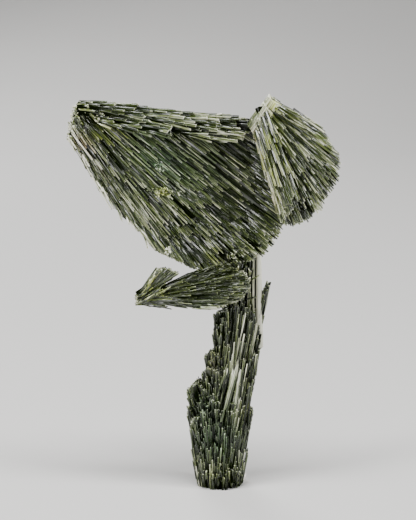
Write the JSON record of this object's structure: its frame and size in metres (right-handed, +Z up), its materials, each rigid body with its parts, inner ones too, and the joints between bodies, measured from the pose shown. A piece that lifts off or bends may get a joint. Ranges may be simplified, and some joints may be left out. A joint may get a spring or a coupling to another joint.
{
  "type": "epidote crystal cluster",
  "caption": "Free-standing mineral specimen: an upright sheaf of bladed crystals that carries two fans and a side spur.",
  "frame": {"origin": "middle of the flat foot that the specimen stands on", "axes": "+Z up along the sheaf, +X to the right of the broad face, +Y through the thickness, away from the viewer"},
  "size_m": [0.0943, 0.0235, 0.1442],
  "materials": {
    "epidote": "vitreous, striated, opaque dark green",
    "putty": "soft matt wad"
  },
  "bodies": {
    "root": {"main_fan": "epidote", "right_fan": "epidote", "left_spur": "epidote", "stem": "epidote", "mounting_putty": "putty"}
  },
  "joints": []
}
